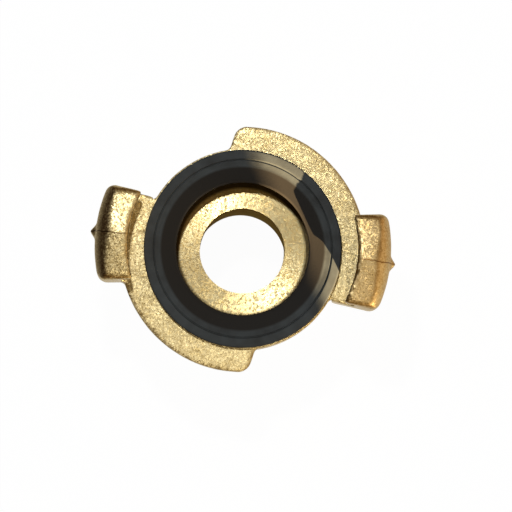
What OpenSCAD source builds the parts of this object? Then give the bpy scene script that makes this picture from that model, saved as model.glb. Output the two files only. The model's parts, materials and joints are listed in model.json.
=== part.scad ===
// One half of a two-claw hose coupling: a forged brass body with a barbed hose tail, and a rubber seal ring.
// It stands on the end of its tail. The axis is Z, and the claws lie along X at the top.
// Sizes are in millimetres, and angles in degrees.

/* [Claws] */
// Clear distance between the tips of the two hooks
claw_gap = 40; // [37.5:0.5:43]
// How far each hook reaches inward from its post
hook_reach = 1.8; // [1.2:0.1:2.4]
// Thickness of a post, measured along the radius
post_t = 4; // [3.2:0.1:5]
// Width of a claw at the tip of its hook
claw_w = 15.7; // [13:0.1:17]
// Angle at which each side of a claw opens outward
claw_flare = 8; // [3:0.5:11]
// Height of the claws above the flange face
claw_h = 10.8; // [9.5:0.1:13]
// Thickness of a hook, from its top to its underside
hook_t = 4.4; // [3.4:0.1:5.6]
// Width of the rounded shoulder on a claw's outer top edge
shoulder_w = 3; // [1.5:0.1:3.4]
// Height of that shoulder
shoulder_h = 3.8; // [2:0.1:4.5]
// Radius of a claw's two outer corners, seen from the front
claw_corner = 1.7; // [0.8:0.1:2.2]
// Radius of a claw's top side edges
claw_edge = 1; // [0.4:0.1:1.4]
// Fall of a claw's top on each side of its middle line
claw_roof = 4; // [1:0.5:6]
// Height of the slanted web that carries a claw's base on the hub
web_h = 3.2; // [1:0.1:5]
// Height of the rib down the middle of a claw's outer face
rib_h = 1; // [0.4:0.1:1.4]
// Width of that rib at its foot
rib_w = 2.5; // [1.5:0.1:3.5]

/* [Cam flange] */
// Gap between the flange's edge and the posts that it turns inside
turn_gap = 0.3; // [0.1:0.05:0.6]
// Thickness of the flange at its entry end
cam_thin = 3.4; // [2.6:0.1:4.2]
// Thickness of the flange at its claw
cam_thick = 4.9; // [4.3:0.1:6.5]
// Angle from a claw's middle line round to the entry end
entry_angle = 101; // [90:1:110]
// Slant of the entry end from the radius
entry_slant = 24; // [5:1:28]
// Radius of the entry end's outer corner
entry_corner = 2.4; // [1:0.1:2.6]
// Slant of the flange's end beside its own claw
heel_slant = 16; // [10:1:22]
// Radius of the hollow where a flange end meets the hub
root_r = 1.2; // [0.4:0.1:1.4]

/* [Hub] */
// Wall of the hub round the recess
hub_wall = 2.6; // [2.2:0.1:3.3]
// Length of the hub behind the flange face
hub_l = 12; // [11:0.1:16]
// Radius of the hub's rear edge
hub_edge = 2; // [0.5:0.1:2.5]
// Length of the cone between the hub and the hose tail
cone_l = 6; // [4:0.1:10]

/* [Seal seat] */
// Diameter of the recess that holds the seal
seat_d = 30; // [29:0.1:30.8]
// Depth of the recess
seat_depth = 7.5; // [7:0.1:8.5]
// Depth of the undercut in the recess wall
undercut = 0.8; // [0.4:0.1:1]
// Width of the undercut
undercut_w = 2.4; // [1.5:0.1:2.6]
// Height of the undercut above the bottom of the recess
undercut_up = 1.4; // [1:0.1:1.8]

/* [Bore and hose tail] */
// Diameter of the throat behind the recess
throat_d = 15; // [13:0.1:15.8]
// Length of the throat
throat_l = 10; // [6:0.1:12]
// Inside diameter of the hose that the tail takes
hose_d = 19; // [18.5:0.1:25]
// Wall of the tail at the foot of its barbs
tail_wall = 1.25; // [1:0.05:1.7]
// Length of the hose tail
tail_l = 30; // [25:0.5:50]
// Number of barbs on the tail
barbs = 5; // [3:1:6]
// Height of a barb above the hose's inside diameter
barb_h = 0.6; // [0.3:0.05:1]
// Width of the flat crest on a barb
barb_crest = 0.8; // [0.4:0.1:1.2]
// Plain stretch of tail between the last barb and the collar
tail_neck = 5; // [2:0.5:6]
// Step from the barbs out to the edge of the collar
collar_step = 2.4; // [1:0.1:3.5]

/* [Seal ring] */
// Brass left showing round the seal
rim_show = 0.3; // [0.1:0.05:0.8]
// Height of the seal above the flange face
seal_stand = 2; // [1.4:0.1:2.6]
// Width of the seal's flat front ring
ring_w = 1.6; // [1:0.1:2]
// Width of the bevel inside that ring
bevel_w = 1; // [0.6:0.1:1.4]
// Drop of that bevel
bevel_drop = 0.5; // [0.2:0.05:0.8]
// Width of the fine groove between ring and bevel
line_w = 0.24; // [0.15:0.01:0.35]
// How far the lip reaches inward from the wall of the recess
lip_reach = 3.4; // [2.8:0.1:4]
// Depth of the lip's edge below the seal's flat ring
lip_fall = 1.6; // [1.4:0.1:2.6]
// Radius of the lip's edge
lip_edge = 0.45; // [0.3:0.05:0.5]
// Wall of the seal's foot
foot_t = 2.2; // [1.6:0.1:2.4]
// Clearance round the seal's foot in the recess
seal_fit = 0.1; // [0.05:0.05:0.2]

/* [Hidden] */
$fn = 96;

brass = "#c9a85a";
rubber = "#34363b";

// Heights above the end of the tail
hub_z = tail_l + cone_l;
face_z = hub_z + hub_l;

// Radii of the claws and the flange, and how far the flange stands out from the hub
hook_r = claw_gap / 2;
post_in = hook_r + hook_reach;
post_out = post_in + post_t;
flange_r = post_in - turn_gap;
seat_r = seat_d / 2;
hub_r = seat_r + hub_wall;
flange_w = flange_r - hub_r;
throat_r = throat_d / 2;
seat_z = face_z - seat_depth;
undercut_z = seat_z + undercut_up;

// Heights above the flange face
hook_z = claw_h - hook_t;

// Small radii of a claw: the hook's nose, and the hollows above and below its post
nose_r = 0.5;
hollow_r = 0.8;
// Thickness of a claw's base behind the flange face, and the slanted edge under it
base_t = cam_thick + 0.5;
base_slant = 1.6;
// How far the filled hollow beside a claw stays behind the flange face
root_drop = 0.8;
// How far joined shapes reach into each other, and cutters past what they cut
joint = 1;
past = 1;
// How far the small arcs of an outline cross the circle or line that they would touch
bite = 0.03;

// Tail: root of the barbs, crest, collar, and the bore at its end
barb_root_r = hose_d / 2;
crest_r = barb_root_r + barb_h;
collar_r = crest_r + collar_step;
tail_bore_r = barb_root_r - tail_wall;
// Lead-in at the end of the tail
tail_lead = 0.4;
pitch = (tail_l - tail_neck) / barbs;
// Length of the steep step behind a crest
barb_step = barb_h / 2;
// Radius of the hollow between collar and neck
neck_hollow = 0.6;

// Seal
seal_r = hub_r - rim_show;
ring_in = seal_r - ring_w;
bevel_in = ring_in - line_w - bevel_w;
lip_r = seat_r - lip_reach;
// Depth of the lip's edge behind the flange face, and the funnel's fall from the bevel to the lip in degrees
lip_down = lip_fall - seal_stand;
funnel_a = atan2(seal_stand - bevel_drop + lip_down - lip_edge, bevel_in - lip_r - lip_edge);
foot_out = seat_r - seal_fit;
foot_in = foot_out - foot_t;
seal_round = 0.3;
bead_z = undercut_up - seat_depth + seal_fit;
bead_top = bead_z + undercut_w - 2 * seal_fit;
// The pocket behind the lip starts this far below the lip's edge
pocket_down = 1.2;

function polar(r, a) = [r * cos(a), r * sin(a)];
function turned_left(d) = [-d[1], d[0]];
function angle_of(v) = atan2(v[1], v[0]);

// Points of an arc, or of a quarter of an ellipse where the two radii differ
function arc(c, rx, ry, a0, a1, steps = 8) =
    [for (i = [0:steps]) let (a = a0 + (a1 - a0) * i / steps) c + [rx * cos(a), ry * sin(a)]];

// Points of an arc that turns the short way from one direction to another
function arc_between(c, r, from, to, steps = 8) =
    let (a = angle_of(from), turn = (angle_of(to) - a + 540) % 360 - 180) arc(c, r, r, a, a + turn, steps);

// Centre of a circle at distance r from the line through p along d, on the side of n,
// and at distance big from the axis
function touching(p, d, n, r, big) =
    let (q = p + r * n, b = q * d, s = -b + sqrt(b * b - q * q + big * big)) q + s * d;

// Points of the hollow between a circle about the axis and a line that leaves it, from the line to the circle
function hollow(p, d, n, r, big) =
    let (c = touching(p, d, n, r - bite, big + r - bite)) arc_between(c, r, -n, -c);

// Points of the round corner between a circle about the axis and a line that crosses it, from the circle to the line
function corner(p, d, n, r, big) =
    let (c = touching(p, d, n, r, big + bite - r)) arc_between(c, r, c, -n);

function reversed(list) = [for (i = [len(list) - 1:-1:0]) list[i]];

// Half the width of a claw at distance u from the axis
function half_width(u) = claw_w / 2 + (u - hook_r) * tan(claw_flare);

// Outline of one flange sector, by the claw on +X: from its heel beside the claw round to its entry end
module sector_plan() {
    heel_p = [hook_r, -half_width(hook_r)];
    heel_d = polar(1, -heel_slant);
    entry_p = polar((hub_r + flange_r) / 2, entry_angle);
    entry_d = polar(1, entry_angle - entry_slant);
    into = -turned_left(entry_d);
    // On a narrow flange, the round corner and the hollow share the end's length
    corner_r = min(entry_corner, 0.62 * flange_w);
    end_root_r = min(root_r, 0.31 * flange_w);
    round_corner = corner(entry_p, entry_d, into, corner_r, flange_r);
    far = 2 * flange_r;
    difference() {
        intersection() {
            circle(flange_r);
            polygon(concat(
                reversed(hollow(heel_p, heel_d, -turned_left(heel_d), end_root_r, hub_r)),
                [heel_p + far * heel_d, [far, far], far / flange_r * round_corner[0]],
                round_corner,
                hollow(entry_p, entry_d, -into, end_root_r, hub_r),
                [[0, 0]]
            ));
        }
        circle(hub_r - joint);
    }
}

// The helical back of one flange sector, as the body that cuts it away
module cam_cut(steps = 20) {
    claw_side = atan2(half_width(flange_r), flange_r);
    a0 = -2 * claw_side;
    a1 = entry_angle + entry_slant;
    r_in = hub_r - 2 * joint;
    r_out = flange_r + 2 * past;
    low = -cam_thick - 2 * past;
    rise = (cam_thick - cam_thin) / (entry_angle - claw_side);
    points = [for (i = [0:steps])
        let (a = a0 + (a1 - a0) * i / steps, z = -cam_thick + rise * max(0, a - claw_side))
        each [[each polar(r_in, a), low], [each polar(r_out, a), low],
            [each polar(r_out, a), z], [each polar(r_in, a), z]]];
    walls = [for (i = [0:steps - 1], k = [0:3])
        let (j = 4 * i, m = (k + 1) % 4) each
            [[j + k, j + m, j + 4 + m], [j + k, j + 4 + m, j + 4 + k]]];
    last = 4 * steps;
    polyhedron(points, concat([[3, 2, 1, 0]], walls, [[last, last + 1, last + 2, last + 3]]));
}

module flange_sector() {
    difference() {
        translate([0, 0, -cam_thick - past]) linear_extrude(cam_thick + past) sector_plan();
        cam_cut();
    }
}

// Section of a claw, as radius and height above the flange face
function claw_section() = concat(
    [[hub_r - joint / 2, -base_t - web_h], [hub_r, -base_t - web_h]],
    [[post_out - base_slant, -base_t], [post_out, base_slant - base_t]],
    arc([post_out - shoulder_w, claw_h - shoulder_h], shoulder_w, shoulder_h, 0, 90),
    arc([hook_r + nose_r, claw_h - nose_r], nose_r, nose_r, 90, 180, 4),
    arc([hook_r + nose_r, hook_z + nose_r], nose_r, nose_r, 180, 270, 4),
    arc([post_in - hollow_r, hook_z - hollow_r], hollow_r, hollow_r, 90, 0, 4),
    arc([post_in - hollow_r, hollow_r], hollow_r, hollow_r, 0, -90, 4),
    [[hub_r - joint / 2, 0]]
);

// Outline of a claw seen from the front, with its sides opening outward and its outer corners rounded
module claw_plan() {
    side = polar(1, claw_flare);
    tip = [hook_r, half_width(hook_r)];
    round_corner = corner(tip, side, -turned_left(side), claw_corner, post_out);
    half = concat(
        [(post_out + past) / post_out * round_corner[0]],
        round_corner,
        [[hub_r - joint, half_width(hub_r - joint)]]
    );
    polygon(concat([[post_out + past, 0]], half, reversed([for (p = half) [p[0], -p[1]]])));
}

// Outline of a claw seen along the radius: a shallow roof with rounded eaves
module claw_front() {
    w = half_width(post_out) + past;
    eave_w = half_width(post_in);
    eave_z = claw_h - eave_w * tan(claw_roof);
    right = concat(
        [[w, -base_t - web_h - past], [w, eave_z - 2 * claw_edge]],
        arc([eave_w - claw_edge, eave_z - claw_edge], claw_edge, claw_edge, 0, 90 - claw_roof, 5)
    );
    polygon(concat(right, [[0, claw_h]], reversed([for (p = right) [-p[0], p[1]]])));
}

// Low rib down the middle of a claw's outer face, slanted at both ends
module claw_rib() {
    low = 2 * base_slant - base_t;
    high = claw_h - shoulder_h;
    foot = post_out - joint;
    tip = post_out + rib_h;
    intersection() {
        translate([0, 0, low - past]) linear_extrude(high - low + 2 * past)
            polygon([[foot, -rib_w], [tip, 0], [foot, rib_w]]);
        rotate([90, 0, 0]) translate([0, 0, -2 * rib_w]) linear_extrude(4 * rib_w)
            polygon([[foot, low], [tip + past, low + rib_h + joint + past],
                [tip + past, high - rib_h - joint - past], [foot, high]]);
    }
}

// Fills the hollow between a claw's side and the flange's edge, behind the flange face
module claw_root() {
    side = polar(1, claw_flare);
    tip = [hook_r, half_width(hook_r)];
    fill = hollow(tip, side, turned_left(side), root_r, flange_r);
    last = fill[len(fill) - 1];
    translate([0, 0, -cam_thick]) linear_extrude(cam_thick - root_drop)
        polygon(concat([fill[0] - joint * turned_left(side)], fill, [(1 - joint / norm(last)) * last]));
}

module claw() {
    low = base_t + web_h + past;
    intersection() {
        rotate_extrude() polygon(claw_section());
        translate([0, 0, -low]) linear_extrude(low + claw_h + past) claw_plan();
        rotate([90, 0, 90]) linear_extrude(post_out + 2 * past) claw_front();
    }
    claw_rib();
    claw_root();
}

// One barb: its crest, and the foot of the sharp step behind it
function barb(i) = [
    [crest_r, (i + 1) * pitch - barb_crest - barb_step],
    [crest_r, (i + 1) * pitch - barb_step],
    [barb_root_r, (i + 1) * pitch]
];

// Section of the turned body: hub, cone, hose tail and bore, as radius and height above the tail's end
function body_section() = concat(
    [[tail_bore_r, 0], [barb_root_r - tail_lead, 0], [barb_root_r, tail_lead]],
    [for (i = [0:barbs - 1]) each barb(i)],
    arc([barb_root_r + neck_hollow, tail_l - neck_hollow], neck_hollow, neck_hollow, 180, 90, 4),
    [[collar_r, tail_l]],
    arc([hub_r - hub_edge, hub_z + hub_edge], hub_edge, hub_edge, -50, 0),
    [[hub_r, face_z], [seat_r, face_z]],
    [[seat_r, undercut_z + undercut_w], [seat_r + undercut, undercut_z + undercut_w]],
    [[seat_r + undercut, undercut_z], [seat_r, undercut_z], [seat_r, seat_z]],
    [[throat_r, seat_z], [throat_r, seat_z - throat_l]]
);

module coupling_body() {
    color(brass) {
        rotate_extrude() polygon(body_section());
        for (turn = [0, 180]) rotate(turn) translate([0, 0, face_z]) {
            flange_sector();
            claw();
        }
    }
}

// Section of the seal: head on the flange face, foot with a bead in the undercut, and the lip of its mouth
function seal_section() = concat(
    arc([seal_r - seal_round, seal_stand - seal_round], seal_round, seal_round, 0, 90, 4),
    [[ring_in, seal_stand], [ring_in - line_w / 2, seal_stand - line_w]],
    [[ring_in - line_w, seal_stand], [bevel_in, seal_stand - bevel_drop]],
    arc([lip_r + lip_edge, -lip_down], lip_edge, lip_edge, 90 + funnel_a, 270, 6),
    [[foot_in, -lip_down - pocket_down], [foot_in, seal_fit - seat_depth]],
    [[foot_out, seal_fit - seat_depth], [foot_out, bead_z]],
    [[foot_out + undercut, bead_z], [foot_out + undercut, bead_top], [foot_out, bead_top]],
    [[foot_out, 0], [seal_r, 0]]
);

module seal_ring() {
    color(rubber) translate([0, 0, face_z]) rotate_extrude() polygon(seal_section());
}

coupling_body();
seal_ring();
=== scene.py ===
# %% [markdown]
# # One half of a two-claw hose coupling
# The body is one hot forging of brass: a hub with a barbed tail, two cam flanges and two hooked claws. A
# black rubber ring sits in its face. The CAD frame holds the true shape and sizes. This lesson adds what the
# hand and the eye find on the surface: soft forged edges, shot-blasted grain, turned faces, and the bloom on
# the rubber.

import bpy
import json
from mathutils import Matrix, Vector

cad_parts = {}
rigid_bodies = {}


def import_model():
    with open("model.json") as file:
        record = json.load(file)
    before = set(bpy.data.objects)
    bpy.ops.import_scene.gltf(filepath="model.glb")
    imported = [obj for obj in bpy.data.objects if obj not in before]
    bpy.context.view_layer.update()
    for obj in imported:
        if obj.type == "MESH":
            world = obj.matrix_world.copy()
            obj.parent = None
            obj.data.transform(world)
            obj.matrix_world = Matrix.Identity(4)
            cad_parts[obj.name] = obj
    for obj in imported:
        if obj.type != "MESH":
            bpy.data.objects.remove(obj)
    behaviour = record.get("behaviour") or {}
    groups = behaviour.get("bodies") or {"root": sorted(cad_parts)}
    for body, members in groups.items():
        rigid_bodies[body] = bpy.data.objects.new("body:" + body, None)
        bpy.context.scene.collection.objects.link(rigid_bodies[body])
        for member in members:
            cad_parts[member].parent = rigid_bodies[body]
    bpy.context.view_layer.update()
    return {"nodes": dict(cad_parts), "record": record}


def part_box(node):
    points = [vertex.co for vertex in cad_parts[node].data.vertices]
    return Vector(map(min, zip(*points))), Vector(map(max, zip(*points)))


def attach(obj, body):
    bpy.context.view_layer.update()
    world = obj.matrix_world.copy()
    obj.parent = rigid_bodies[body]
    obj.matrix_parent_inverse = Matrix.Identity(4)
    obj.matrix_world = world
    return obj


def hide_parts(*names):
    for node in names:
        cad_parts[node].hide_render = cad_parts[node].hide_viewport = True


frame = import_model()

# %% [markdown]
# The record names the places where other things meet the coupling, so the two heights below are read from it.
# A scene that measures its frame still fits when the frame changes.

# %% Two heights of the real piece
import json
import math
from types import SimpleNamespace

import bmesh
import bpy
import numpy as np
from mathutils import Matrix, Vector, noise

MM = 0.001
mounts = {mount["name"]: mount for mount in frame["record"]["mounts"]}
throat = mounts["throat"]
face_z = mounts["claw_face"]["pos_m"][2]
seat_z = throat["pos_m"][2] + throat["dims"]["length_mm"] * MM / 2
print(f"flange face at {face_z / MM:.1f} mm, floor of the seat at {seat_z / MM:.1f} mm")

# %% [markdown]
# ## The camera
# The coupling stands on its tail and is seen from straight above its face, from nearly a metre away. From
# there a long lens keeps the two ends of the part at almost one scale. The part leans a little away from the
# lens, so that a thin crescent of the bore's wall shows. The camera's three axes are built from that lean and
# from how far the part is rolled in the picture.

# %% Camera
image_size = 512
face_pixel = (242.6, 249.1)
pixels_per_mm = 5.712
camera_distance = 0.95
lean = math.radians(2.5)
lean_direction = math.radians(78)
roll = math.radians(-6.3)

part_z = Vector((math.sin(lean) * math.cos(lean_direction),
                 math.sin(lean) * math.sin(lean_direction),
                 math.cos(lean)))
across = Vector((math.cos(roll), math.sin(roll), 0))
part_x = (across - part_z * across.dot(part_z)).normalized()
part_y = part_z.cross(part_x)
camera_turn = Matrix((part_x, part_y, part_z))
face_centre = Vector((0, 0, face_z))

camera = bpy.data.objects.new("camera", bpy.data.cameras.new("camera"))
bpy.context.scene.collection.objects.link(camera)
camera.data.lens = camera.data.sensor_width * pixels_per_mm / MM * camera_distance / image_size
camera.data.shift_x = 0.5 - face_pixel[0] / image_size
camera.data.shift_y = face_pixel[1] / image_size - 0.5
camera.data.clip_start = 0.01
camera.data.clip_end = 20
place = Matrix.Translation(face_centre + camera_turn @ Vector((0, 0, camera_distance)))
camera.matrix_world = place @ camera_turn.to_4x4()
bpy.context.scene.camera = camera
print(f"lens {camera.data.lens:.0f} mm")

# %% [markdown]
# Light is easiest to place as the picture shows it: so far round, and so far above the face. Two helpers turn
# such a direction, and a place in the picture, into the part's own frame. They use only the three axes above,
# so the lamps stay where they are when the part is looked at from another side.


# %% Directions and places as the picture shows them
def seen_from(azimuth, elevation):
    """Unit vector to what lies at this azimuth in the picture and this high above the face, in degrees."""
    a, e = math.radians(azimuth), math.radians(elevation)
    return camera_turn @ Vector((math.cos(a) * math.cos(e), math.sin(a) * math.cos(e), math.sin(e)))


def face_point(x, y):
    """The point of the flange face that lies at this pixel of the picture."""
    right = (x - face_pixel[0]) / pixels_per_mm * MM
    up = (face_pixel[1] - y) / pixels_per_mm * MM
    return face_centre + camera_turn @ Vector((right, up, 0))


# %% [markdown]
# ## Colours, nodes and pieces
# Colours are written as sRGB hex values, the way a paint chart gives them, and Blender's sockets take linear
# light. One function converts them. One more adds a node, sets what it is told and links what it is given.
# The last two start a material with an empty tree, and put a mesh into the scene.


# %% Four helpers
def linear(hex_colour):
    """Linear RGBA of an sRGB hex colour."""
    channels = [int(hex_colour[i:i + 2], 16) / 255 for i in (1, 3, 5)]
    return [c / 12.92 if c <= 0.04045 else ((c + 0.055) / 1.055) ** 2.4 for c in channels] + [1]


def add_node(tree, kind, inputs=None, **settings):
    """Adds a shader node. A socket given as an input is linked, and anything else is its value."""
    node = tree.nodes.new("ShaderNode" + kind)
    for name, value in settings.items():
        setattr(node, name, value)
    for name, value in (inputs or {}).items():
        if isinstance(value, bpy.types.NodeSocket):
            tree.links.new(value, node.inputs[name])
        else:
            node.inputs[name].default_value = value
    return node


def new_material(name):
    """A material with an empty tree, and its output node."""
    material = bpy.data.materials.new(name)
    material.use_nodes = True
    material.node_tree.nodes.clear()
    return material, add_node(material.node_tree, "OutputMaterial")


def link(name, mesh):
    """Puts a mesh into the scene as a piece of this name."""
    piece = bpy.data.objects.new(name, mesh)
    bpy.context.scene.collection.objects.link(piece)
    return piece


# %% [markdown]
# ## The forged body
# A drop forging has no sharp corner outside: the dies are rounded so that hot metal fills them. The turned
# places are crisp, because a tool cut them. A bevel would want clean edge loops, and the CAD mesh has long
# thin triangles. So a copy is rebuilt by the Remesh modifier in its sharp mode, which makes even quads and
# keeps edges. Each quad is about two pixels of the picture. Then only the forged places are relaxed.

# %% Even quads
quad = 0.375 * MM
octree_depth = 8
weld = 1e-7


def even_quads(node, name, size):
    """A copy of a CAD node's mesh, rebuilt as quads of one size that keep its edges."""
    mesh = node.data.copy()
    shell = bmesh.new()
    shell.from_mesh(mesh)
    bmesh.ops.remove_doubles(shell, verts=shell.verts, dist=weld)
    shell.to_mesh(mesh)
    shell.free()
    rough = link("rough", mesh)
    remesh = rough.modifiers.new("remesh", "REMESH")
    remesh.mode = "SHARP"
    remesh.octree_depth = octree_depth
    remesh.scale = max(rough.dimensions) / (2 ** octree_depth * size)
    evaluated = rough.evaluated_get(bpy.context.evaluated_depsgraph_get())
    finished = bpy.data.meshes.new_from_object(evaluated)
    bpy.data.objects.remove(rough)
    return link(name, finished)


body = even_quads(frame["nodes"]["coupling_body"], "forged_body", quad)
print("body:", len(body.data.polygons), "quads")

# %% [markdown]
# The seat, the bore and the tail were turned after forging. A share from 0 to 1 tells each point of the mesh
# how much of the forging is left there: the seat and bore lie within the undercut, and the tail below the
# collar.

# %% Where the body is forged, and where it is turned
undercut_r = 15.8 * MM
undercut_margin = 0.1 * MM
collar_z = 30 * MM
collar_turned = 0.4 * MM
collar_forged = 1.2 * MM


def smooth_step(low, high, value):
    """0 below low and 1 above high, with soft bends, or the other way round where low is above high."""
    t = np.clip((value - low) / (high - low), 0, 1)
    return t * t * (3 - 2 * t)


def read_points(mesh, kind="co"):
    """The places or normals of a mesh's points, one row each."""
    values = np.empty(3 * len(mesh.vertices))
    mesh.vertices.foreach_get(kind, values)
    return values.reshape(-1, 3)


def forged_share(places):
    """1 on forged walls, and 0 in the seat, in the bore and on the hose tail, which a tool turned."""
    r = np.hypot(places[:, 0], places[:, 1])
    z = places[:, 2]
    inside = smooth_step(undercut_r + undercut_margin, undercut_r - undercut_margin, r)
    on_tail = smooth_step(collar_z + collar_forged, collar_z + collar_turned, z)
    return (1 - inside) * (1 - on_tail)


points = read_points(body.data)
forged = forged_share(points)
print(f"forged share of the points: {forged.mean():.2f}")

# %% [markdown]
# The claws' tops are slightly crowned, so that they fall away towards the parting rib. That is a plain
# lowering of the points, which grows with the square of the distance from the claw's inner edge.

# %% Crowned claw tops
crown_r = 21.5 * MM
rib_r = 26.8 * MM
crown = 0.4 * MM
crown_from_z = 54.6 * MM
crown_full_z = 57 * MM

lean_out = np.clip((np.hypot(points[:, 0], points[:, 1]) - crown_r) / (rib_r - crown_r), 0, 1)
on_top = smooth_step(crown_from_z, crown_full_z, points[:, 2])
points[:, 2] -= crown * lean_out ** 2 * on_top
print(f"the crown lowers the claws' outer edge by {crown / MM:.1f} mm")

# %% [markdown]
# Relaxing moves every point a little towards the mean of its neighbours. On a flat or round wall this changes
# nothing, and on an edge it makes the small radius that a forging die leaves. The claws get the most, since
# hot metal fills a deep die last, and the flange face the least.

# %% Soft forged edges
softness_low = 0.35
softness_more_on_claws = 0.45
claw_starts = 0.3 * MM
claw_full = 1.2 * MM
relaxing_rounds = 3

edges = np.empty(2 * len(body.data.edges), dtype=int)
body.data.edges.foreach_get("vertices", edges)
edges = edges.reshape(-1, 2)
neighbours = np.bincount(edges.ravel(), minlength=len(points))


def neighbour_mean(values):
    """The mean of each point's neighbours."""
    total = np.zeros_like(values)
    for near, far in ((0, 1), (1, 0)):
        for axis in range(3):
            total[:, axis] += np.bincount(edges[:, near], values[edges[:, far], axis], len(values))
    return total / neighbours[:, None]


on_claw = smooth_step(face_z + claw_starts, face_z + claw_full, points[:, 2])
softness = forged * (softness_low + softness_more_on_claws * on_claw)
for _ in range(relaxing_rounds):
    points += softness[:, None] * (neighbour_mean(points) - points)
body.data.vertices.foreach_set("co", points.ravel())
body.data.update()
print(f"softness from {softness.min():.2f} to {softness.max():.2f}")

# %% [markdown]
# Die walls wear, and scale is pressed into hot metal, so a forged wall is never quite flat. Slow waves a few
# millimetres long, and shallow dents about a millimetre wide, are moved into the mesh. They bend a reflection
# and roughen an outline, which a bump map can't do.

# %% Waves and dents in the forged walls
waves = ((6 * MM, 0.03 * MM), (1.4 * MM, 0.012 * MM))
sharp_from = 32

lift = np.array([sum(height * noise.noise(Vector(p) / length) for length, height in waves)
                 for p in points])
points += (forged * lift)[:, None] * read_points(body.data, "normal")
body.data.vertices.foreach_set("co", points.ravel())
body.data.shade_smooth()
body.data.set_sharp_from_angle(angle=math.radians(sharp_from))
print(f"lift from {lift.min() / MM:.3f} to {lift.max() / MM:.3f} mm")

# %% [markdown]
# ## Brass
# The body is a forging brass. Shot-blasting leaves a skin of small round dents that sparkle one by one,
# between a pale straw and a darker gold. The turned skin of the seat, bore and tail comes from the same
# functions: there the tool left fine rings, and a lighter blasting dusted them. Every pattern is laid out in
# real millimetres of the part, so a shader first asks where on the part it is.


# %% Where on the part a shader is
def part_place(tree):
    """The shaded point in millimetres, its axes, its flat line out from the axis, and how long that is."""
    place = add_node(tree, "TexCoord").outputs["Object"]
    in_mm = add_node(tree, "VectorMath", {0: place, "Scale": 1 / MM}, operation="SCALE").outputs["Vector"]
    flat = add_node(tree, "VectorMath", {0: in_mm, 1: (1, 1, 0)}, operation="MULTIPLY").outputs["Vector"]
    out = add_node(tree, "VectorMath", {0: flat}, operation="LENGTH").outputs["Value"]
    axes = add_node(tree, "SeparateXYZ", {0: in_mm}).outputs
    return SimpleNamespace(point=in_mm, x=axes["X"], y=axes["Y"], z=axes["Z"], flat=flat, out=out)


# %% [markdown]
# A Voronoi texture has round cells, one for each shot. Its random colour leans each dent a little its own
# way, so that each catches the light alone. A finer noise is the grit between the dents, as bump. Real dents
# are about a tenth of a millimetre wide, and the turned rings are as fine. Both are too fine to show, so they
# are drawn at about a quarter of a millimetre, one and a half pixels of the picture.

# %% Dents, grit and turned rings
grit_share = 0.6
ring_mm = 0.3


def blasted_normal(tree, place, shot, grit, shot_depth, ring_depth, sparkle):
    """The normal of a blasted skin, with turned rings under the dents where ring_depth is above 0."""
    normal = add_node(tree, "Bump", {"Height": grit, "Distance": shot_depth * MM}).outputs["Normal"]
    if ring_depth:
        along = add_node(tree, "Math", {0: place.out, 1: place.z}, operation="ADD").outputs[0]
        rings = add_node(tree, "TexNoise", {"W": along, "Scale": 1 / ring_mm, "Detail": 3.0},
                         noise_dimensions="1D").outputs[0]
        normal = add_node(tree, "Bump", {"Height": rings, "Distance": ring_depth * MM,
                                         "Normal": normal}).outputs["Normal"]
    dent = add_node(tree, "VectorMath", {0: shot, 1: (0.5, 0.5, 0.5)}, operation="SUBTRACT").outputs[0]
    dent = add_node(tree, "VectorMath", {0: dent, "Scale": sparkle}, operation="SCALE").outputs[0]
    normal = add_node(tree, "VectorMath", {0: normal, 1: dent}, operation="ADD").outputs[0]
    return add_node(tree, "VectorMath", {0: normal}, operation="NORMALIZE").outputs[0]


# %% [markdown]
# The two halves of the die meet in a parting line along the middle of each claw. Trimming leaves a thin dark
# seam there, which wanders a little. It is drawn as a line of colour where y is near 0, from the claws' inner
# edge outwards.

# %% The parting seam
seam_edge, seam_core = 0.12, 0.04
seam_wander = 0.9
seam_from, seam_full = 20.2, 20.8


def seam_share(tree, place, cloud):
    """1 on the seam, and 0 beside it."""
    wobble = add_node(tree, "Math", {0: cloud, 1: seam_wander, 2: -seam_wander / 2},
                      operation="MULTIPLY_ADD").outputs[0]
    aside = add_node(tree, "Math", {0: place.y, 1: wobble}, operation="ADD").outputs[0]
    aside = add_node(tree, "Math", {0: aside}, operation="ABSOLUTE").outputs[0]
    line = add_node(tree, "MapRange", {"Value": aside, "From Min": seam_edge,
                                       "From Max": seam_core}).outputs[0]
    far = add_node(tree, "MapRange", {"Value": place.out, "From Min": seam_from,
                                      "From Max": seam_full}).outputs[0]
    return add_node(tree, "Math", {0: line, 1: far}, operation="MULTIPLY").outputs[0]


# %% [markdown]
# The claw on the +X side is painted a warmer, browner gold from the flange face upwards. This is painted
# shade, which darkens that claw.

# %% Painted shade on the +X claw
claw_shade = 0.3
claw_shade_starts, claw_shade_full = 0.2, 3


def painted_claw_shade_share(tree, place):
    """How far the painted shade darkens the brass of the +X claw."""
    on_plus_x_side = add_node(tree, "MapRange", {"Value": place.x, "From Min": -1, "From Max": 1}).outputs[0]
    high = add_node(tree, "MapRange", {
        "Value": place.z, "From Min": face_z / MM + claw_shade_starts, "From Max": face_z / MM + claw_shade_full,
        "To Max": claw_shade}).outputs[0]
    return add_node(tree, "Math", {0: on_plus_x_side, 1: high}, operation="MULTIPLY").outputs[0]


# %% [markdown]
# The rim of the seat's floor below the rubber lip is painted dark brown, a painted shade of the lip. It
# begins just inside the lip, and only in the seat, so that the collar outside stays clean.

# %% Painted shade below the lip
lip_shade_r, lip_shade_fade = 10.85, 0.5
lip_shade_below_floor, lip_shade_height = 1, 0.5


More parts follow.
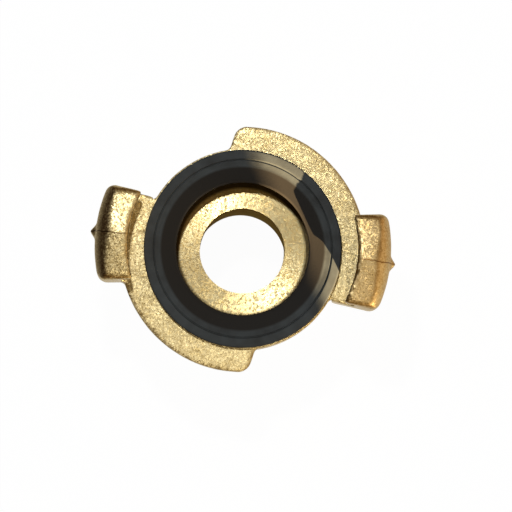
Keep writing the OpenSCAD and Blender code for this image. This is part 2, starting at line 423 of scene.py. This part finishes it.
def painted_lip_shade_share(tree, place, most):
    """How dark the painted shade is, up to most, on the seat's floor and wall from just inside the lip."""
    below_lip = add_node(tree, "MapRange", {"Value": place.out, "From Min": lip_shade_r,
                                            "From Max": lip_shade_r + lip_shade_fade, "To Max": most}).outputs[0]
    start = seat_z / MM - lip_shade_below_floor
    in_seat = add_node(tree, "MapRange", {"Value": place.z, "From Min": start,
                                          "From Max": start + lip_shade_height}).outputs[0]
    return add_node(tree, "Math", {0: below_lip, 1: in_seat}, operation="MULTIPLY").outputs[0]


# %% [markdown]
# The colour runs from dark to pale by three things added up: clouds a few millimetres wide, the grit, and
# each dent's own shade. Then the seam, the painted shade on the +X claw and the painted shade below the lip
# are mixed in. Most dents are smooth and a few are rough, which gives the eye its sparkle. Turning marks run
# round the axis, so highlights stretch outwards from it and make the bright bow tie on the seat's floor. The
# flange shows a weak trace of the same, so the blasted skin has a little of it too. The IOR stays at its
# default, as for any metal.

# %% Brass
cloud_mm = 2.5
clouds = 0.5
grains = 0.46
rough_dents = (0.6, 0.9)
middle = (1 + clouds + grains) / 2
seam_brown = linear("#5C3E1C")
# Painted shade on the +X claw
painted_claw_shade_brown = linear("#A87C42")
# Painted shade below the lip, standing in for the shade the lip throws on the seat's floor
painted_lip_shade_brown = linear("#2E200E")


def brass(name, pale, dark, patches, shot_mm, shot_depth, roughness, anisotropy, sparkle,
          ring_depth=0.0, lip_shade=0.0):
    """Brass with a blasted skin. patches is how soft dark turns to pale, and depths are in mm."""
    material, output = new_material(name)
    tree = material.node_tree
    place = part_place(tree)
    shot = add_node(tree, "TexVoronoi", {"Vector": place.point, "Scale": 1 / shot_mm}).outputs["Color"]
    grit = add_node(tree, "TexNoise", {"Vector": place.point, "Scale": 1 / (grit_share * shot_mm),
                                       "Detail": 3.0}).outputs["Fac"]
    cloud = add_node(tree, "TexNoise", {"Vector": place.point, "Scale": 1 / cloud_mm,
                                        "Detail": 4.0}).outputs["Fac"]
    normal = blasted_normal(tree, place, shot, grit, shot_depth, ring_depth, sparkle)
    dice = add_node(tree, "SeparateColor", {"Color": shot}).outputs
    fade = add_node(tree, "Math", {0: cloud, 1: clouds, 2: grit}, operation="MULTIPLY_ADD").outputs[0]
    fade = add_node(tree, "Math", {0: dice["Red"], 1: grains, 2: fade}, operation="MULTIPLY_ADD").outputs[0]
    share = add_node(tree, "MapRange", {"Value": fade, "From Min": middle - patches,
                                        "From Max": middle + patches}).outputs[0]
    colour = add_node(tree, "Mix", {"Factor": share, 6: linear(dark), 7: linear(pale)},
                      data_type="RGBA").outputs[2]
    # The seam is a real mark of the die, and the other brown is painted shade on the +X claw
    marks = [(seam_share(tree, place, cloud), seam_brown), (painted_claw_shade_share(tree, place), painted_claw_shade_brown)]
    # The painted shade below the lip, where it is asked for
    if lip_shade:
        marks.append((painted_lip_shade_share(tree, place, lip_shade), painted_lip_shade_brown))
    for mark, brown in marks:
        colour = add_node(tree, "Mix", {"Factor": mark, 6: colour, 7: brown}, data_type="RGBA").outputs[2]
    polish = add_node(tree, "MapRange", {
        "Value": dice["Green"], "From Min": rough_dents[0], "From Max": rough_dents[1],
        "To Min": roughness[0], "To Max": roughness[1]}).outputs[0]
    skin = add_node(tree, "BsdfPrincipled", {
        "Metallic": 1.0, "Base Color": colour, "Roughness": polish, "Normal": normal,
        "Anisotropic": anisotropy, "Tangent": place.flat})
    tree.links.new(skin.outputs[0], output.inputs["Surface"])
    return material


blasted = brass("shot_blasted_brass", pale="#EEE0B0", dark="#A08852", patches=0.42,
                shot_mm=0.26, shot_depth=0.014, roughness=(0.35, 0.52), anisotropy=0.35, sparkle=0.16)
# The turned brass carries the painted shade below the lip
turned = brass("turned_brass", pale="#FFF2C0", dark="#E6C478", patches=0.45,
               shot_mm=0.3, shot_depth=0.008, roughness=(0.34, 0.56), anisotropy=0.82, sparkle=0.04,
               ring_depth=0.005, lip_shade=0.9)
print("brass:", len(blasted.node_tree.nodes), "and", len(turned.node_tree.nodes), "nodes")

# %% [markdown]
# Each face of the body takes the turned brass where less than half of the forging is left, and the blasted
# brass elsewhere. The finished body then stands in for the CAD node.

# %% The body's two finishes
body.data.materials.clear()
for finish in (blasted, turned):
    body.data.materials.append(finish)
centres = np.empty(3 * len(body.data.polygons))
body.data.polygons.foreach_get("center", centres)
centres = centres.reshape(-1, 3)
is_turned = (forged_share(centres) < 0.5).astype(np.int32)
body.data.polygons.foreach_set("material_index", is_turned)
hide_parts("coupling_body")
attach(body, "root")
print("turned faces:", int(is_turned.sum()))

# %% [markdown]
# ## The seal
# The seal is one moulded ring. A mould leaves round edges, and a bevel on the long thin triangles of the CAD
# mesh would spoil its fine groove. So the ring is turned anew from a section of its own. From the outside
# in, the section has the flat ring, the groove, a short step, a bevel, the web that falls to the lip, and the
# foot with its bead. All its sizes are in millimetres.

# %% The section of the seal
seal_low, seal_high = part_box("seal_ring")
ring_out = seal_high.x / MM
ring_top = seal_high.z / MM
foot_low = seal_low.z / MM
flat_w = 1.6
ring_in = ring_out - flat_w
ring_edge = 0.3
groove_w = 0.24
groove_depth = 1.4 * groove_w
groove_edge = 0.12
step = 0.2
bevel_w, bevel_drop = 1.0, 0.42
bevel_in = ring_in - groove_w - bevel_w
lip_r, lip_z, lip_edge = 11.6, 48.65, 0.45
pocket_z = 47.2
foot_in, foot_out = 12.7, 14.9
bead_out, bead_low, bead_high = 15.7, 42.0, 44.2


def bend(r, z, size, start, end, steps=6):
    """Points of a round edge, as radius and height, from one angle to another in degrees."""
    angles = np.radians(np.linspace(start, end, steps + 1))
    return [(r + size * math.cos(a), z + size * math.sin(a)) for a in angles]


bevel_z = ring_top - bevel_drop
web_fall = math.degrees(math.atan2(bevel_z - lip_z - lip_edge, bevel_in - lip_r - lip_edge))
section = (
    bend(ring_out - ring_edge, ring_top - ring_edge, ring_edge, 0, 90)
    + bend(ring_in + groove_edge, ring_top - groove_edge, groove_edge, 90, 180, 4)
    + [(ring_in - groove_w / 2, ring_top - groove_depth)]
    + bend(ring_in - groove_w - groove_edge, ring_top - step - groove_edge, groove_edge, 0, 70, 4)
    + bend(bevel_in, bevel_z - groove_edge, groove_edge, 80, 90 + web_fall, 3)
    + bend(lip_r + lip_edge, lip_z, lip_edge, 90 + web_fall, 270)
    + [(foot_in, pocket_z), (foot_in, foot_low), (foot_out, foot_low), (foot_out, bead_low)]
    + [(bead_out, bead_low), (bead_out, bead_high), (foot_out, bead_high), (foot_out, face_z / MM)]
    + [(ring_out, face_z / MM)]
)
print(len(section), "points in the section, and the web falls at", round(web_fall), "degrees")

# %% [markdown]
# A lathe in mesh code turns the section. Long stretches are divided, so that the soft rubber can wander a few
# hundredths of a millimetre everywhere within the flat ring.

# %% A lathe for the section
around_steps = 288
longest_stretch = 0.5
wander_by, wander_length = 0.04, 4
seal_sharp_from = 40


def lathe(name, outline, steps, longest):
    """Turns a closed outline about the axis. Stretches of it longer than longest are divided."""
    line = []
    for start, end in zip(outline, outline[1:] + outline[:1]):
        parts = max(1, math.ceil(math.dist(start, end) / longest))
        run, rise = end[0] - start[0], end[1] - start[1]
        line += [(start[0] + run * i / parts, start[1] + rise * i / parts) for i in range(parts)]
    places = []
    for turn in range(steps):
        a = 2 * math.pi * turn / steps
        for r, z in line:
            spot = Vector((r * math.cos(a), r * math.sin(a), z)) / wander_length
            wander = wander_by * noise.noise(spot) if r < ring_in else 0
            places.append(((r + wander) * math.cos(a) * MM, (r + wander) * math.sin(a) * MM, z * MM))
    count = len(line)
    faces = []
    for turn in range(steps):
        here, there = turn * count, (turn + 1) % steps * count
        faces += [(here + i, here + (i + 1) % count, there + (i + 1) % count, there + i)
                  for i in range(count)]
    mesh = bpy.data.meshes.new(name)
    mesh.from_pydata(places, [], faces)
    shell = bmesh.new()
    shell.from_mesh(mesh)
    bmesh.ops.recalc_face_normals(shell, faces=shell.faces)
    shell.to_mesh(mesh)
    shell.free()
    mesh.shade_smooth()
    mesh.set_sharp_from_angle(angle=math.radians(seal_sharp_from))
    return link(name, mesh)


seal = lathe("rubber_seal", section, around_steps, longest_stretch)
print("seal:", len(seal.data.polygons), "quads")

# %% [markdown]
# The seal is nitrile rubber, filled with soot, so it is nearly black and drinks the light. What stands proud
# carries a thin bluish grey in soft patches, partly dust bloom and partly a painted sheen, while the web
# below stays dark. The lip's rounded edge is painted a little paler, a painted highlight. A fine grain breaks
# up the soft shine. The skin of the mould is finer than the picture can show, so the grain is drawn at 0.3
# mm.

# %% Black nitrile rubber
web_black = linear("#272522")
# Dust bloom and a painted sheen on the flat ring
bloom_and_sheen_grey = linear("#4A4F50")
# Painted highlight on the lip's rounded edge
painted_lip_highlight_grey = linear("#33302C")
bloom_and_sheen_below, bloom_and_sheen_above = 0.06, 0.02
patch_mm = 3.0
patch_range = (0.3, 0.7)
least_bloom_and_sheen = 0.45
lip_highlight_from, lip_highlight_full = 0.42, 0.2
rubber_grain_mm = 0.3
rubber_grain_depth = 0.02
rubber_roughness = 0.62
rubber_shine = 0.2


def nitrile(name):
    """Dull black rubber, with dust bloom and a painted sheen on the flat ring, and a painted highlight on the
    lip.
    """
    material, output = new_material(name)
    tree = material.node_tree
    place = part_place(tree)
    # Painted sheen and dust bloom on what stands proud, in soft patches
    proud = add_node(tree, "MapRange", {"Value": place.z, "From Min": bevel_z - bloom_and_sheen_below,
                                        "From Max": bevel_z + bloom_and_sheen_above}).outputs[0]
    cloud = add_node(tree, "TexNoise", {"Vector": place.point, "Scale": 1 / patch_mm,
                                        "Detail": 5.0}).outputs["Fac"]
    patch = add_node(tree, "MapRange", {"Value": cloud, "From Min": patch_range[0],
                                        "From Max": patch_range[1], "To Min": least_bloom_and_sheen}).outputs[0]
    bloom_and_sheen = add_node(tree, "Math", {0: proud, 1: patch}, operation="MULTIPLY").outputs[0]
    # Painted highlight along the lip's rounded edge
    lip_highlight = add_node(tree, "MapRange", {"Value": place.out, "From Min": lip_r + lip_highlight_from,
                                         "From Max": lip_r + lip_highlight_full}).outputs[0]
    colour = web_black
    for mark, grey in ((bloom_and_sheen, bloom_and_sheen_grey), (lip_highlight, painted_lip_highlight_grey)):
        colour = add_node(tree, "Mix", {"Factor": mark, 6: colour, 7: grey}, data_type="RGBA").outputs[2]
    grain = add_node(tree, "TexNoise", {"Vector": place.point, "Scale": 1 / rubber_grain_mm,
                                        "Detail": 3.0}).outputs["Fac"]
    normal = add_node(tree, "Bump", {"Height": grain, "Distance": rubber_grain_depth * MM}).outputs["Normal"]
    skin = add_node(tree, "BsdfPrincipled", {
        "Base Color": colour, "Roughness": rubber_roughness, "Specular IOR Level": rubber_shine,
        "Normal": normal})
    tree.links.new(skin.outputs[0], output.inputs["Surface"])
    return material


seal.data.materials.append(nitrile("black_nitrile_rubber"))
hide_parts("seal_ring")
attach(seal, "root")
print("the seal's materials:", [material.name for material in seal.data.materials])

# %% [markdown]
# ## The studio
# The floor is a white sheet. White paint under lamps would never be quite white, and lamps strong enough for
# it would burn the brass. So what the camera sees directly, or in metal, glows almost white by itself and
# keeps a faint shadow. All other light meets plain matt paint.


# %% What is seen directly
def seen_directly(tree):
    """1 for rays from the camera, and for those that metal or glass sends on."""
    ray = add_node(tree, "LightPath").outputs
    shiny = add_node(tree, "Math", {0: ray["Is Camera Ray"], 1: ray["Is Glossy Ray"]},
                     operation="MAXIMUM").outputs[0]
    return add_node(tree, "Math", {0: shiny, 1: ray["Is Transmission Ray"]}, operation="MAXIMUM").outputs[0]


# %% Floor
side = 3.0
paint_white, shadow_white, own_glow = 0.8, 0.06, 0.97

floor_mesh = bpy.data.meshes.new("floor")
floor_mesh.from_pydata([(-side, -side, 0), (side, -side, 0), (side, side, 0), (-side, side, 0)],
                       [], [(0, 1, 2, 3)])
floor = link("floor", floor_mesh)

floor_paint, floor_output = new_material("white_floor")
tree = floor_paint.node_tree
matt = add_node(tree, "BsdfDiffuse", {"Color": (paint_white,) * 3 + (1,)})
faint = add_node(tree, "BsdfDiffuse", {"Color": (shadow_white,) * 3 + (1,)})
glow = add_node(tree, "Emission", {"Color": (1, 1, 1, 1), "Strength": own_glow})
seen = add_node(tree, "AddShader", {0: faint.outputs[0], 1: glow.outputs[0]})
both = add_node(tree, "MixShader", {0: seen_directly(tree), 1: matt.outputs[0], 2: seen.outputs[0]})
tree.links.new(both.outputs[0], floor_output.inputs["Surface"])
floor_paint.cycles.emission_sampling = "NONE"
floor.data.materials.append(floor_paint)
print("floor:", 2 * side, "m square")

# %% [markdown]
# The room is white where it is seen, and lights the rubber and the floor more gently than that.

# %% World
room_strength = 0.26

world = bpy.data.worlds.new("studio")
bpy.context.scene.world = world
world.use_nodes = True
tree = world.node_tree
tree.nodes.clear()
room = add_node(tree, "Background", {"Color": (1, 1, 1, 1), "Strength": room_strength})
white = add_node(tree, "Background", {"Color": (1, 1, 1, 1), "Strength": 1.0})
mix = add_node(tree, "MixShader", {0: seen_directly(tree), 1: room.outputs[0], 2: white.outputs[0]})
add_node(tree, "OutputWorld", {"Surface": mix.outputs[0]})
world.cycles.sampling_method = "NONE"
print("room strength:", room_strength)

# %% [markdown]
# Four lamps light the part. The key stands nearly overhead and makes the bright bow tie on the seat's floor
# and the lip's shadow. The low sun is a narrow, warm spot at the lower right, which throws the claw's long
# shadow across the seal. A reflection of so strong a lamp would be a white speck, so metal doesn't see it.
# The warm glow takes its place in the metal and lights nothing else. The fill stands opposite the key, also
# for metal alone, and lifts the lower halves of the claws' tops.

# %% Lamps
key_azimuth, key_elevation, key_distance = 104, 76, 0.45
sun_pixel = (326, 244)
sun_target = face_point(*sun_pixel)
sun_azimuth, sun_elevation, sun_distance = -65, 24.3, 0.5
glow_azimuth, glow_elevation, glow_distance = -40, 8, 0.5
fill_azimuth, fill_elevation, fill_distance = -76, 73, 0.45


def lamp(name, kind, target, azimuth, elevation, distance, power, colour, **settings):
    """A lamp that shines on a target from this direction in the picture, with its power in watts."""
    light = bpy.data.lights.new(name, kind)
    light.energy = power
    light.color = linear(colour)[:3]
    for setting, value in settings.items():
        setattr(light, setting, value)
    holder = bpy.data.objects.new(name, light)
    bpy.context.scene.collection.objects.link(holder)
    direction = seen_from(azimuth, elevation)
    turn = direction.to_track_quat("Z", "Y").to_matrix().to_4x4()
    holder.matrix_world = Matrix.Translation(target + distance * direction) @ turn
    return holder


key = lamp("key", "AREA", face_centre, key_azimuth, key_elevation, key_distance, 0.47, "#FFFFFF",
           shape="DISK", size=0.02)
low = lamp("low_sun", "SPOT", sun_target, sun_azimuth, sun_elevation, sun_distance, 140, "#FFDCA8",
           spot_size=math.radians(4.4), spot_blend=1.0, shadow_soft_size=0.002)
warm = lamp("warm_glow", "AREA", face_centre, glow_azimuth, glow_elevation, glow_distance, 1.6, "#FFE0B0",
            shape="DISK", size=0.1)
fill = lamp("fill", "AREA", face_centre, fill_azimuth, fill_elevation, fill_distance, 0.16, "#FFF4E0",
            shape="DISK", size=0.002)
low.visible_glossy = False
warm.visible_diffuse = False
fill.visible_diffuse = False
print("lamps:", [light.name for light in (key, low, warm, fill)])

# %% [markdown]
# A black flag stands halfway to the low sun and holds its light off the left half of the face. A round one
# stands halfway to the fill and keeps it out of the mouth, so that the lip's shadow on the seat's floor stays
# dark. Only the lamps' own rays meet them.

# %% Flags
flag_size = 0.05
lit_width = 4.5 * MM
mouth_shade_r = 14.5 * MM

black_cloth, cloth_output = new_material("black_cloth")
black = add_node(black_cloth.node_tree, "BsdfDiffuse", {"Color": (0, 0, 0, 1)})
black_cloth.node_tree.links.new(black.outputs[0], cloth_output.inputs["Surface"])


def flag(name, target, azimuth, elevation, distance, outline):
    """A flat black sheet halfway to a lamp. Its outline is given aside from and above the lamp's ray."""
    halfway = target + distance / 2 * seen_from(azimuth, elevation)
    aside = seen_from(azimuth - 90, 0)
    upward = aside.cross(seen_from(azimuth, elevation))
    mesh = bpy.data.meshes.new(name)
    mesh.from_pydata([tuple(halfway + aside * x + upward * y) for x, y in outline], [],
                     [range(len(outline))])
    mesh.materials.append(black_cloth)
    sheet = link(name, mesh)
    sheet.visible_camera = sheet.visible_diffuse = False
    sheet.visible_glossy = sheet.visible_transmission = False


straight = [(lit_width / 2, -flag_size), (flag_size, -flag_size),
            (flag_size, flag_size), (lit_width / 2, flag_size)]
circle = [(mouth_shade_r / 2 * math.cos(a), mouth_shade_r / 2 * math.sin(a))
          for a in np.radians(range(0, 360, 15))]
flag("flag", sun_target, sun_azimuth, sun_elevation, sun_distance, straight)
flag("round_flag", face_centre, fill_azimuth, fill_elevation, fill_distance, circle)
print(f"the low sun's light ends {lit_width / MM:.1f} mm to the left of its middle")

# %% [markdown]
# Metal shows its surroundings. In a room of pure white every dent and round edge vanishes, so the reflections
# get a tent of their own. It is dark overhead, where only the lamps should show, golden halfway down, dark
# brown low at the left and at the top of the picture, and bright and warm low at the right, where the low sun
# comes in. Below the face it turns to the colour of a pale floor, later at the left than at the right, which
# keeps the left claw's outer wall dark. Only reflections see it, and neither the camera nor the floor's
# shadow knows of it.

# %% Colours of the tent
overhead = linear("#2C281E")
pale_floor = linear("#D8D0C0")
# For each azimuth: the colour low down and the one halfway up, the elevation up to which the low colour
# stays, and the one from which the tent is as dark as overhead
sides = (
    (-35, "#FFF0D0", "#D0AC7C", 8, 84),
    (15, "#F0C088", "#A88458", 10, 86),
    (60, "#7A5A34", "#8C7A58", 22, 80),
    (100, "#4A3216", "#8C7C5C", 26, 80),
    (150, "#261206", "#604828", 46, 82),
    (210, "#241006", "#705834", 46, 84),
    (262, "#4A2E12", "#A08C64", 30, 86),
    (295, "#FFCC84", "#80704E", 14, 84),
    (325, "#FFF0D0", "#D0AC7C", 8, 84),
)
first_azimuth = sides[0][0]
floor_from, floor_full = 2, -30
left_floor_from, left_floor_full = -10, -50
# How far a direction points left is minus the cosine of its azimuth
left_begins, left_whole = -0.2, 0.6


def tent_colour(azimuth, elevation):
    """What a reflection sees in this direction."""
    azimuth = (azimuth - first_azimuth) % 360 + first_azimuth
    stops = [side[0] for side in sides]
    low, halfway = ([np.interp(azimuth, stops, [linear(side[i])[c] for side in sides]) for c in range(3)]
                    for i in (1, 2))
    start, end = (np.interp(azimuth, stops, [side[i] for side in sides]) for i in (3, 4))
    up = float(np.clip((elevation - start) / (end - start), 0, 1))
    first, second = min(2 * up, 1), max(2 * up - 1, 0)
    left = float(smooth_step(left_begins, left_whole, -math.cos(math.radians(azimuth))))
    down = float(smooth_step(floor_from + (left_floor_from - floor_from) * left,
                             floor_full + (left_floor_full - floor_full) * left, elevation))
    wall = [l + (h - l) * first for l, h in zip(low, halfway)]
    return [(w * (1 - second) + o * second) * (1 - down) + f * down
            for w, o, f in zip(wall, overhead, pale_floor)] + [1]


print("straight up:", [round(c, 3) for c in tent_colour(0, 90)])

# %% [markdown]
# The tent is one dome of coloured points, whose colours blend from point to point. Where it would reach
# through the floor, it follows the floor instead.

# %% A tent for the reflections
tent_r = 0.7
tent_low = -60
azimuth_step, elevation_step = 6, 5
above_floor = 0.2 * MM


def tent_point(azimuth, elevation):
    """The tent's point in this direction, which stays above the floor."""
    direction = seen_from(azimuth, elevation)
    reach = min(tent_r, (face_z - above_floor) / -direction.z) if direction.z < 0 else tent_r
    return tuple(face_centre + reach * direction)


def card(name, places, faces, colours):
    """A sheet that only reflections see, with a colour at each of its points."""
    mesh = bpy.data.meshes.new(name)
    mesh.from_pydata(places, [], faces)
    tint = mesh.color_attributes.new("tint", "FLOAT_COLOR", "POINT")
    tint.data.foreach_set("color", np.ravel(colours))
    piece = link(name, mesh)
    paint, out = new_material(name + "_paint")
    tint = add_node(paint.node_tree, "Attribute", attribute_name="tint")
    shine = add_node(paint.node_tree, "Emission", {"Color": tint.outputs["Color"]})
    paint.node_tree.links.new(shine.outputs[0], out.inputs["Surface"])
    paint.cycles.emission_sampling = "NONE"
    mesh.materials.append(paint)
    piece.visible_camera = piece.visible_diffuse = False
    piece.visible_shadow = piece.visible_transmission = False


azimuths = range(0, 360, azimuth_step)
elevations = range(tent_low, 91, elevation_step)
n = len(elevations)
tent_faces = []
for i in range(len(azimuths)):
    here, there = i * n, (i + 1) % len(azimuths) * n
    tent_faces += [(here + j, here + j + 1, there + j + 1, there + j) for j in range(n - 1)]
card("tent", [tent_point(a, e) for a in azimuths for e in elevations], tent_faces,
     [tent_colour(a, e) for a in azimuths for e in elevations])
print("tent:", len(tent_faces), "faces")

# %% [markdown]
# The floor glows white also at the foot of the bore, where a real one would lie in the dark. A small card
# inside the tail's end shows the bore's wall a dim gold instead.

# %% Shade in the bore
shade_r = 8.2 * MM
shade_z = 0.1 * MM
shade_points = 48
dim_gold = linear("#5A4E30")

shade_angles = [2 * math.pi * i / shade_points for i in range(shade_points)]
card("shade_in_the_bore", [(shade_r * math.cos(a), shade_r * math.sin(a), shade_z) for a in shade_angles],
     [tuple(range(shade_points))], [dim_gold] * shade_points)
print(f"shade: {2 * shade_r / MM:.1f} mm across")

# %% [markdown]
# ## Finish
# The Standard view shows colours as they are written.

# %% Finish
bpy.context.scene.view_settings.view_transform = "Standard"
